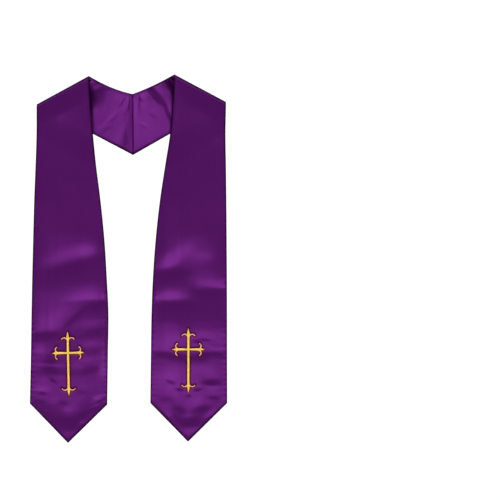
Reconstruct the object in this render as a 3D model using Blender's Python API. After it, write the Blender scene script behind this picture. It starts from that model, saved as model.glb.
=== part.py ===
"""Choir stole of satin, laid flat on a table with its fronts down and its neck at the top.

Each half is one long strip, face and lining, cut from the centre back seam to the pointed end.
It folds over at the shoulder, so the front lies on the back. The two halves meet in a seam at
the centre back, and an embroidered cross lies near each pointed end.

Sizes are in millimetres. +X is to the right, +Y towards the neck and +Z up from the table.
The origin is on the table, below the middle of the stole. add_solid() writes metres.
"""

import math
from collections import namedtuple

import bmesh
import bpy
import numpy as np
from mathutils import Vector
from mathutils.bvhtree import BVHTree
from mathutils.geometry import delaunay_2d_cdt

MM = 0.001

# Layers of cloth, from the face outwards to the lining inwards
CLOTH = 1.0
SEAM_GAP = 0.3
LAYER = CLOTH + SEAM_GAP
FACE_DEPTHS = (0.0, CLOTH)
LINING_DEPTHS = (LAYER, LAYER + CLOTH)
PANEL = LAYER + CLOTH

# The shoulder fold is a soft loop, and the front settles on the back below it
FOLD_RADIUS = 5.0
FOLD_STEPS = 8
SETTLE_OUTER = 200.0
SETTLE_NECK = 240.0
STEP_START = 2.0
STEP_RUN = 60.0

# Grid of each wall
COLUMNS_EACH_SIDE = 8
BACK_ROWS = 12
FRONT_PITCH = 10.5
LINING_FINE_TO = 170.0
LINING_SKIP = 4
TIP_GATHER = 6

# Soft folds fade out towards the sewn edges and under the embroidery
EDGE_FADE = 0.09
HEM_FADE = 16.0
CROSS_FADE = 16.0
CROSS_KEEP = 0.2

# Plan of each half: the outer shoulder and neck ends of the fold, the ends of the centre back seam,
# the heights of the hem's corners, the tip, and how far the neck curve dips below a straight line
Half = namedtuple(
    "Half", "side neck shoulder seam_top seam_low hem_outer hem_inner tip neck_dip cross cross_turn"
)
HALVES = {
    "left": Half(
        side=-1,
        neck=(-82.3, 379.4),
        shoulder=(-190.7, 320.2),
        seam_top=(8.2, 341.8),
        seam_low=(9.2, 215.2),
        hem_outer=-300.7,
        hem_inner=-302.8,
        tip=(-125.7, -382.7),
        neck_dip=4.6,
        cross=(-125.7, -195.7),
        cross_turn=1.2,
    ),
    "right": Half(
        side=1,
        neck=(95.0, 382.7),
        shoulder=(202.5, 325.4),
        seam_top=(8.2, 341.8),
        seam_low=(9.2, 215.2),
        hem_outer=-299.7,
        hem_inner=-299.7,
        tip=(123.4, -380.0),
        neck_dip=2.5,
        cross=(124.2, -188.4),
        cross_turn=0.0,
    ),
}

# Long edges of the two fronts: a row for each section, down from the neck
Section = namedtuple("Section", "height left_outer left_inner right_inner right_outer")
SECTIONS = [
    Section(385, -190.7, -82.5, 95.0, 202.6),
    Section(320, -190.7, -79.1, 91.7, 202.3),
    Section(259, -190.9, -73.8, 86.3, 201.2),
    Section(194, -193.0, -67.4, 76.1, 202.2),
    Section(127, -195.7, -58.9, 65.9, 203.0),
    Section(27, -198.4, -49.1, 55.1, 203.8),
    Section(-39, -200.0, -45.2, 50.6, 204.2),
    Section(-106, -201.3, -41.9, 47.9, 204.4),
    Section(-200, -202.7, -42.9, 46.4, 204.5),
    Section(-301, -204.8, -44.2, 45.2, 204.8),
]

# Large soft folds that stand up from a front: middle, turn from +X, half length, half width, height
Fold = namedtuple("Fold", "x y turn length width height")
FRONT_FOLDS = {
    "left": [
        Fold(-119, 0, 20, 62, 13, 2.2),
        Fold(-86, -90, 8, 36, 15, 1.7),
        Fold(-156, -146, 14, 42, 22, 1.6),
        Fold(-74, -150, 14, 28, 14, 0.9),
        Fold(-162, -198, -4, 32, 14, 1.3),
        Fold(-72, -217, 10, 26, 12, 0.9),
        Fold(-124, -310, 0, 58, 26, 1.5),
    ],
    "right": [
        Fold(102, -10, 26, 44, 15, 2.1),
        Fold(166, -60, -4, 42, 15, 1.9),
        Fold(82, -88, 0, 34, 14, 1.3),
        Fold(124, -188, 2, 66, 13, 1.0),
        Fold(166, -244, 4, 26, 10, 1.2),
        Fold(116, -304, -2, 54, 26, 1.5),
    ],
}

# Folds of the lining inside the neck
BACK_FOLDS = {
    "left": [
        Fold(-76, 352, -74, 34, 15, 1.8),
        Fold(-36, 292, 40, 26, 9, 0.5),
    ],
    "right": [
        Fold(72, 334, -49, 40, 18, 2.4),
        Fold(26, 316, -70, 26, 10, 0.6),
    ],
}

# Embroidered cross: lengths of its four arms from the crossing, and half widths
ARM_UP = 43.6
ARM_DOWN = 88.8
ARM_SIDE = 33.4
STEM_HALF = 2.2
CROSSBAR_HALF = 1.85
CROSSBAR_HALF_END = 2.3
HOOK_RADIUS = 6.4
HOOK_HALF = 1.1
HOOK_END_TURN = 66.0
HOOK_STEPS = 6
UPRIGHT_HOOK = 11.2
SIDE_HOOK = 7.1
SPEAR_HALF = 2.9
TIP_HALF = 0.3
THREAD_EDGE = 0.8
THREAD_CROWN = 0.5

SATIN = ("purple satin", (0.105, 0.012, 0.150), 0.38)
LINING_SATIN = ("purple lining satin", (0.120, 0.014, 0.170), 0.42)
THREAD = ("gold thread", (0.860, 0.520, 0.060), 0.45)


def smooth_step(share):
    """Rises from 0 to 1 with level ends."""
    share = np.clip(share, 0.0, 1.0)
    return share * share * (3.0 - 2.0 * share)


def smooth_curve(table_at, table_value, at):
    """A cubic curve through a table's points, with each slope taken from the points beside it."""
    table_at, table_value = np.asarray(table_at, float), np.asarray(table_value, float)
    slope = np.gradient(table_value, table_at)
    k = np.clip(np.searchsorted(table_at, at) - 1, 0, len(table_at) - 2)
    span = table_at[k + 1] - table_at[k]
    s = np.clip((at - table_at[k]) / span, 0.0, 1.0)
    start = table_value[k] * (2 * s**3 - 3 * s**2 + 1) + slope[k] * span * (s**3 - 2 * s**2 + s)
    end = table_value[k + 1] * (3 * s**2 - 2 * s**3) + slope[k + 1] * span * (s**3 - s**2)
    return start + end


def front_edge(half, edge, height):
    """X of a front's outer or inner edge at a height."""
    name = ("left_" if half.side < 0 else "right_") + edge
    rows = SECTIONS[::-1]
    return smooth_curve([r.height for r in rows], [getattr(r, name) for r in rows], height)


def fold_inward(half):
    """Unit vector in the plan, at right angles to the shoulder fold and towards the stole."""
    along = np.subtract(half.neck, half.shoulder)
    inward = np.array([along[1], -along[0]]) * -half.side
    return inward / np.hypot(*inward)


def front_reach(half):
    """How far the hem lies from the shoulder fold, and the slope that turns this into a height."""
    steep = -fold_inward(half)[1]
    outer_drop = half.shoulder[1] - half.hem_outer
    inner_drop = half.neck[1] - half.hem_inner
    return 0.5 * (outer_drop + inner_drop) * steep, steep


def tip_share(half):
    """Where the pointed end's tip lies between the outer edge, 0, and the inner edge, 1."""
    outer = front_edge(half, "outer", np.array(half.hem_outer))
    inner = front_edge(half, "inner", np.array(half.hem_inner))
    return float((half.tip[0] - outer) / (inner - outer))


def front_plan(half, across, down):
    """Plan of a front. across runs from its outer edge, 0, to its inner edge, 1, and down is the
    distance from the shoulder fold. Rows lie along the fold at the top, turn level lower down,
    and bend into the point at the hem."""
    reach, steep = front_reach(half)
    share = down / reach
    outer_y = half.shoulder[1] - down / steep
    inner_y = half.neck[1] - down / steep
    outer_y = outer_y + (half.hem_outer - (half.shoulder[1] - reach / steep)) * share**2
    inner_y = inner_y + (half.hem_inner - (half.neck[1] - reach / steep)) * share**2
    outer_x = front_edge(half, "outer", outer_y)
    inner_x = front_edge(half, "inner", inner_y)
    tip_at = tip_share(half)
    hem_y = half.hem_outer + (half.hem_inner - half.hem_outer) * tip_at
    point = np.minimum(across / tip_at, (1 - across) / (1 - tip_at))
    x = outer_x + (inner_x - outer_x) * across
    y = outer_y + (inner_y - outer_y) * across
    y = y + (half.tip[1] - hem_y) * point * share**TIP_GATHER
    return x, y


def back_plan(half, across, down):
    """Plan of a back. across runs from its lower edge, 0, to the neck edge, 1, and down is the
    distance from the shoulder fold. Rows lie along the fold at first and end on the seam."""
    inward = fold_inward(half)
    seam = np.array([half.side * SEAM_GAP / 2, 0.0])
    low, top = np.add(half.seam_low, seam), np.add(half.seam_top, seam)
    low_run, top_run = low - half.shoulder, top - half.neck
    low_reach, top_reach = low_run @ inward, top_run @ inward
    reach = 0.5 * (low_reach + top_reach)
    share = down / reach
    low_share = (reach * share + (low_reach - reach) * share**2) / low_reach
    top_share = (reach * share + (top_reach - reach) * share**2) / top_reach
    low_x = half.shoulder[0] + low_run[0] * low_share
    low_y = half.shoulder[1] + low_run[1] * low_share
    top_x = half.neck[0] + top_run[0] * top_share
    top_y = half.neck[1] + top_run[1] * top_share
    dip = half.neck_dip * 4 * top_share * (1 - top_share)
    return low_x + (top_x - low_x) * across, low_y + (top_y - dip - low_y) * across


def back_reach(half):
    """Mean distance of the centre back seam from the shoulder fold."""
    inward = fold_inward(half)
    low = np.subtract(half.seam_low, half.shoulder) @ inward
    top = np.subtract(half.seam_top, half.neck) @ inward
    return 0.5 * (low + top)


def raised_folds(folds, x, y):
    """Height of a table of soft folds at plan points: each falls off like a bell across its line
    and along it."""
    height = np.zeros(np.shape(x))
    for fold in folds:
        turn = math.radians(fold.turn)
        along = (x - fold.x) * math.cos(turn) + (y - fold.y) * math.sin(turn)
        aside = (y - fold.y) * math.cos(turn) - (x - fold.x) * math.sin(turn)
        bell = np.exp(-((aside / fold.width) ** 2) - (along / fold.length) ** 2)
        height = height + fold.height * bell
    return height


def cross_fade(half, x, y):
    """1 away from the embroidered cross, and less under it, where the stitches stiffen the cloth."""
    aside, up = np.abs(x - half.cross[0]), y - half.cross[1]
    past_stem = np.maximum(np.maximum(up - ARM_UP, -up - ARM_DOWN), 0)
    out_of_stem = np.hypot(np.maximum(aside - STEM_HALF, 0), past_stem)
    out_of_bar = np.hypot(np.maximum(aside - ARM_SIDE, 0), np.maximum(np.abs(up) - 2 * HOOK_RADIUS, 0))
    near = np.minimum(out_of_stem, out_of_bar)
    return CROSS_KEEP + (1 - CROSS_KEEP) * smooth_step(near / CROSS_FADE)


def front_rest(half, across, down, x, y):
    """Height of a front's underside: on the back lining, then down a soft step onto the table.
    The loop of the shoulder fold holds it up, less and less, until it has settled."""
    low_run = np.subtract(half.seam_low, half.shoulder)
    off_back = np.array([-low_run[1], low_run[0]]) * half.side
    off_back = off_back / np.hypot(*off_back)
    past = (x - half.shoulder[0]) * off_back[0] + (y - half.shoulder[1]) * off_back[1]
    on_back = 2 * LAYER * (1 - smooth_step((past - STEP_START) / STEP_RUN))
    settle = SETTLE_OUTER + (SETTLE_NECK - SETTLE_OUTER) * across
    loop = (2 * FOLD_RADIUS - PANEL - 2 * LAYER) * (1 - smooth_step((down - FOLD_RADIUS) / settle))
    return on_back + loop


def skin(half, name, depth, across, rows):
    """Points of one side of a wall. depth is its distance in from the outside of the face.
    rows give a zone and a place in it: back and front rows by their distance from the fold, and
    loop rows by their angle round it, from -90 degrees below to 90 above."""
    is_face = depth in FACE_DEPTHS
    points = []
    rim = np.full_like(across, FOLD_RADIUS)
    rim_x, rim_y = front_plan(half, across, rim)
    rim_top = front_rest(half, across, rim, rim_x, rim_y) + PANEL - depth
    for zone, place in rows:
        if zone == "back":
            x, y = back_plan(half, across, np.full_like(across, place))
            z = np.full_like(across, depth)
            if not is_face:
                fade = smooth_step(across / EDGE_FADE) * smooth_step((1 - across) / EDGE_FADE)
                z = z + raised_folds(BACK_FOLDS[name], x, y) * fade
        elif zone == "loop":
            swing = math.sin(place)
            down = np.full_like(across, FOLD_RADIUS - (FOLD_RADIUS - depth) * math.cos(place))
            back_x, back_y = back_plan(half, across, down)
            front_x, front_y = front_plan(half, across, down)
            over = 0.5 + 0.5 * swing
            x, y = back_x + (front_x - back_x) * over, back_y + (front_y - back_y) * over
            z = depth + (rim_top - depth) * over
        else:
            x, y = front_plan(half, across, np.full_like(across, place))
            z = front_rest(half, across, place, x, y) + PANEL - depth
            if is_face:
                fade = smooth_step(across / EDGE_FADE) * smooth_step((1 - across) / EDGE_FADE)
                fade = fade * smooth_step((front_reach(half)[0] - place) / HEM_FADE)
                z = z + raised_folds(FRONT_FOLDS[name], x, y) * fade * cross_fade(half, x, y)
        points.append(np.stack([x, y, z], axis=-1))
    return np.array(points)


def wall_rows(half, fine):
    """Rows of a wall from the centre back seam to the hem. A plain lining needs fewer on the table."""
    back = [("back", d) for d in np.linspace(back_reach(half), FOLD_RADIUS, BACK_ROWS + 1)[:-1]]
    loop = [("loop", a) for a in np.linspace(-math.pi / 2, math.pi / 2, FOLD_STEPS + 1)]
    reach = front_reach(half)[0]
    count = round((reach - FOLD_RADIUS) / FRONT_PITCH)
    down = np.linspace(FOLD_RADIUS, reach, count + 1)[1:]
    if not fine:
        down = [d for k, d in enumerate(down, 1) if d < LINING_FINE_TO or (count - k) % LINING_SKIP == 0]
    return back + loop + [("front", d) for d in down]


def add_solid(name, points, faces, material, parent):
    """Puts a closed mesh into the scene as one object, in metres, with its faces outwards."""
    mesh = bpy.data.meshes.new(name)
    mesh.from_pydata([tuple(p) for p in np.asarray(points) * MM], [], faces)
    bm = bmesh.new()
    bm.from_mesh(mesh)
    bmesh.ops.recalc_face_normals(bm, faces=bm.faces)
    bm.to_mesh(mesh)
    bm.free()
    mesh.materials.append(material)
    mesh.shade_smooth()
    mesh.set_sharp_from_angle(angle=math.radians(50))
    solid = bpy.data.objects.new(name, mesh)
    solid.parent = parent
    bpy.context.collection.objects.link(solid)
    return solid


def add_wall(name, half_name, depths, fine, material, parent):
    """One panel of cloth: two skins on the same grid, joined round the rim."""
    half = HALVES[half_name]
    tip_at = tip_share(half)
    outer_part = np.linspace(0, tip_at, COLUMNS_EACH_SIDE + 1)
    inner_part = np.linspace(tip_at, 1, COLUMNS_EACH_SIDE + 1)
    across = np.concatenate([outer_part, inner_part[1:]])
    rows = wall_rows(half, fine)
    outside = skin(half, half_name, depths[0], across, rows)
    inside = skin(half, half_name, depths[1], across, rows)
    high, wide = len(rows), len(across)
    count = high * wide
    number = np.arange(count).reshape(high, wide)
    a, b = number[:-1, :-1].ravel(), number[:-1, 1:].ravel()
    c, d = number[1:, 1:].ravel(), number[1:, :-1].ravel()
    faces = [*zip(a, b, c), *zip(a, c, d)]
    faces += [*zip(a + count, c + count, b + count), *zip(a + count, d + count, c + count)]
    rim = [*number[0, :-1], *number[:-1, -1], *number[-1, :0:-1], *number[:0:-1, 0]]
    faces += [(p, p + count, q + count, q) for p, q in zip(rim, rim[1:] + rim[:1])]
    faces = [tuple(int(v) for v in face) for face in faces]
    points = np.concatenate([outside.reshape(-1, 3), inside.reshape(-1, 3)])
    return add_solid(name, points, faces, material, parent)


def half_arm(length, half_width, hook_at, spear):
    """One side of one arm of the cross, from the crossing to the tip, as (out, aside) points.
    The arm's edge runs tangent into the inner arc of its hook. The outer arc comes back to the
    spear-shaped head, whose side is a short table of (distance from the tip, half width)."""
    centre_out = length - hook_at - HOOK_RADIUS
    centre_aside = half_width + HOOK_RADIUS - HOOK_HALF
    inner, outer = HOOK_RADIUS - HOOK_HALF, HOOK_RADIUS + HOOK_HALF
    meet = math.asin((centre_aside - SPEAR_HALF) / outer)
    end = math.radians(HOOK_END_TURN)
    points = []
    for turn in np.linspace(-math.pi / 2, end, HOOK_STEPS + 2):
        points.append((centre_out + inner * math.cos(turn), centre_aside + inner * math.sin(turn)))
    for turn in np.linspace(end, -meet, HOOK_STEPS + 1):
        points.append((centre_out + outer * math.cos(turn), centre_aside + outer * math.sin(turn)))
    points += [(length - from_tip, aside) for from_tip, aside in spear]
    return points


def arm_middles(length, half_width, hook_at):
    """Points along the middle of one arm and of its two hooks, as lists of (out, aside)."""
    centre_out = length - hook_at - HOOK_RADIUS
    centre_aside = half_width + HOOK_RADIUS - HOOK_HALF
    run = max(3, round(length / 6))
    lines = [[(length * k / run, 0.0) for k in range(1, run)] + [(length - 2.0, 0.0)]]
    turns = np.radians(np.linspace(-52, HOOK_END_TURN - 10, HOOK_STEPS))
    for side in (1, -1):
        out = centre_out + HOOK_RADIUS * np.cos(turns)
        aside = side * (centre_aside + HOOK_RADIUS * np.sin(turns))
        lines.append(list(zip(out.tolist(), aside.tolist())))
    return lines


def turned(point, quarter, side):
    """A point given along and aside of an arm, once the arm is turned by quarters from +X."""
    out = (round(math.cos(quarter * math.pi / 2)), round(math.sin(quarter * math.pi / 2)))
    return (
        point[0] * out[0] - side * point[1] * out[1],
        point[0] * out[1] + side * point[1] * out[0],
    )


def cross_plan():
    """The cross's outline, anticlockwise from its right arm, and the middle points of its strokes."""
    long_spear = [(8.0, 2.45), (5.2, 1.5), (2.4, 0.85), (0.0, TIP_HALF)]
    short_spear = [(5.4, 1.95), (3.0, 0.95), (0.0, TIP_HALF)]
    arms = [
        (0, ARM_SIDE, CROSSBAR_HALF_END, SIDE_HOOK, short_spear),
        (1, ARM_UP, STEM_HALF, UPRIGHT_HOOK, long_spear),
        (2, ARM_SIDE, CROSSBAR_HALF_END, SIDE_HOOK, short_spear),
        (3, ARM_DOWN, STEM_HALF, UPRIGHT_HOOK, long_spear),
    ]
    corner_signs = [(1, 1), (-1, 1), (-1, -1), (1, -1)]
    outline, middles = [], [(0.0, 0.0)]
    for quarter, length, half_width, hook_at, spear in arms:
        edge = half_arm(length, half_width, hook_at, spear)
        outline += [turned(p, quarter, -1) for p in edge]
        outline += [turned(p, quarter, 1) for p in edge[::-1]]
        outline.append((corner_signs[quarter][0] * STEM_HALF, corner_signs[quarter][1] * CROSSBAR_HALF))
        for line in arm_middles(length, half_width, hook_at):
            middles += [turned(p, quarter, 1) for p in line]
    return outline, middles


def add_cross(name, half, face, material, parent):
    """The embroidered cross: its bottom is made from the face's points below it, moved out by the
    gap, and its top is crowned along the middle of each stroke."""
    outline, middles = cross_plan()
    rim = len(outline)
    plan = [Vector(p) for p in outline + middles]
    inside_loop = 1
    found = delaunay_2d_cdt(plan, [], [list(range(rim))], inside_loop, 1e-4)
    flat, triangles = np.array(found[0]), found[2]
    inner = np.ones(len(flat), bool)
    inner[:rim] = False
    turn = math.radians(half.cross_turn)
    x = half.cross[0] + flat[:, 0] * math.cos(turn) - flat[:, 1] * math.sin(turn)
    y = half.cross[1] + flat[:, 0] * math.sin(turn) + flat[:, 1] * math.cos(turn)
    cloth = face.data
    surface = BVHTree.FromPolygons([v.co for v in cloth.vertices], [p.vertices for p in cloth.polygons])
    down = Vector((0, 0, -1))
    above = [Vector((px * MM, py * MM, 1.0)) for px, py in zip(x, y)]
    ground = np.array([surface.ray_cast(start, down)[0].z / MM for start in above])
    low = ground + SEAM_GAP
    high = low + THREAD_EDGE + THREAD_CROWN * inner
    count = len(flat)
    points = np.concatenate([np.stack([x, y, high], -1), np.stack([x, y, low], -1)])
    faces = [tuple(t) for t in triangles] + [tuple(v + count for v in t[::-1]) for t in triangles]
    faces += [(k, (k + 1) % rim, (k + 1) % rim + count, k + count) for k in range(rim)]
    return add_solid(name, points, faces, material, parent)


def add_material(name, colour, roughness):
    material = bpy.data.materials.new(name)
    material.use_nodes = True
    shader = material.node_tree.nodes["Principled BSDF"]
    shader.inputs["Base Color"].default_value = (*colour, 1.0)
    shader.inputs["Roughness"].default_value = roughness
    shader.inputs["Metallic"].default_value = 0.0
    material.diffuse_color = (*colour, 1.0)
    return material


def main():
    for old in list(bpy.data.objects):
        bpy.data.objects.remove(old, do_unlink=True)
    satin = add_material(*SATIN)
    lining = add_material(*LINING_SATIN)
    thread = add_material(*THREAD)
    stole = bpy.data.objects.new("stole", None)
    bpy.context.collection.objects.link(stole)
    for name, half in HALVES.items():
        face = add_wall(name + "_face", name, FACE_DEPTHS, True, satin, stole)
        add_wall(name + "_lining", name, LINING_DEPTHS, False, lining, stole)
        add_cross(name + "_cross", half, face, thread, stole)


main()
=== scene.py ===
"""Looks of a choir stole laid flat: satin face and lining, sewn edges, creases and embroidery.

Lengths are in millimetres, in the part's own frame: +X right, +Y towards the neck, +Z up from the
table. add_mesh() writes metres.
"""

import math
from collections import namedtuple
from functools import lru_cache

import bpy
import numpy as np
from bpy.props import FloatProperty, FloatVectorProperty, PointerProperty
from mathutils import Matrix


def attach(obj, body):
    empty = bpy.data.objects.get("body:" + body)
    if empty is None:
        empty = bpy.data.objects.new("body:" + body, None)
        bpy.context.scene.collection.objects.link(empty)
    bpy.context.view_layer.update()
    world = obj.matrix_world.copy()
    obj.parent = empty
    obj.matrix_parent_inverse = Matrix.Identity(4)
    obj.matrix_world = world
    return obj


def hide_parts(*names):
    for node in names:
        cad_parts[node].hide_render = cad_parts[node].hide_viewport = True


bl_info = {
    "name": "Choir Stole",
    "version": (1, 0, 0),
    "blender": (4, 5, 0),
    "location": "View3D > Sidebar > Stole",
    "description": "Builds a satin choir stole laid flat, with an embroidered cross on each front",
    "category": "Add Mesh",
}

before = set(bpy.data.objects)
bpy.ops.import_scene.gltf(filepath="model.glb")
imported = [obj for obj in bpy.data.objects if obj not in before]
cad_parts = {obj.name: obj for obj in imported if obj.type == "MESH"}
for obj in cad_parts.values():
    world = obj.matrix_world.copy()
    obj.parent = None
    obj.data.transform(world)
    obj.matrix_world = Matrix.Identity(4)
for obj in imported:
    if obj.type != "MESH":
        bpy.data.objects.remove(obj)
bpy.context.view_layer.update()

MM = 0.001

# Depths of the cloth's skins, in from the outside of the face, and where a sewn edge brings them. A
# panel is as thick as the deepest, and a front on the back lies higher than that by a seam's gap
FACE_SKINS = (0.0, 0.6)
LINING_SKINS = (1.7, 2.3)
FACE_EDGE = (1.02, 1.09)
LINING_EDGE = (1.19, 1.26)
PANEL = 2.3
UNDER_LAYERS = 2.6

# The shoulder fold is a soft loop, and the front settles on the back below it. Creases set in over a
# run below the loop, and a front steps down from the back's edge onto the table
FOLD_RADIUS = 5.0
SETTLE_OUTER = 200.0
SETTLE_NECK = 240.0
FRONT_FADE = 40.0
BACK_FADE = 7.0
STEP_START = 2.0
STEP_RUN = 60.0

# Power of the rows' bend into the point, how far a half stops short of the middle of the seam, and a
# distance that counts as nowhere near
TIP_GATHER = 6
SEAM_APART = 0.01
FAR = 1e3

# Plan of each half, as in the solids, and the painted shade on the lining where it runs in under the
# front: how much wider the shade grows, about which height and over what run, and its depth at the corner
Half = namedtuple(
    "Half",
    "side neck shoulder seam_top seam_low hem_outer hem_inner tip neck_dip cross cross_turn"
    " tuck tuck_at tuck_run corner",
)
HALVES = {
    "left": Half(
        side=-1,
        neck=(-82.3, 379.4),
        shoulder=(-190.7, 320.2),
        seam_top=(8.2, 341.8),
        seam_low=(9.2, 215.2),
        hem_outer=-300.7,
        hem_inner=-302.8,
        tip=(-125.7, -382.7),
        neck_dip=4.6,
        cross=(-125.7, -195.7),
        cross_turn=1.2,
        tuck=10.0,
        tuck_at=336.0,
        tuck_run=24.0,
        corner=0.0,
    ),
    "right": Half(
        side=1,
        neck=(95.0, 382.7),
        shoulder=(202.5, 325.4),
        seam_top=(8.2, 341.8),
        seam_low=(9.2, 215.2),
        hem_outer=-299.7,
        hem_inner=-299.7,
        tip=(123.4, -380.0),
        neck_dip=2.5,
        cross=(124.2, -188.4),
        cross_turn=0.0,
        tuck=7.0,
        tuck_at=385.0,
        tuck_run=60.0,
        corner=0.95,
    ),
}

# Long edges of the two fronts: a row for each section, up from the hem
Section = namedtuple("Section", "height left_outer left_inner right_inner right_outer")
SECTIONS = [
    Section(-301, -204.8, -44.2, 45.2, 204.8),
    Section(-200, -202.7, -42.9, 46.4, 204.5),
    Section(-106, -201.3, -41.9, 47.9, 204.4),
    Section(-39, -200.0, -45.2, 50.6, 204.2),
    Section(27, -198.4, -49.1, 55.1, 203.8),
    Section(127, -195.7, -58.9, 65.9, 203.0),
    Section(194, -193.0, -67.4, 76.1, 202.2),
    Section(259, -190.9, -73.8, 86.3, 201.2),
    Section(320, -190.7, -79.1, 91.7, 202.3),
    Section(385, -190.7, -82.5, 95.0, 202.6),
]
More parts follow.
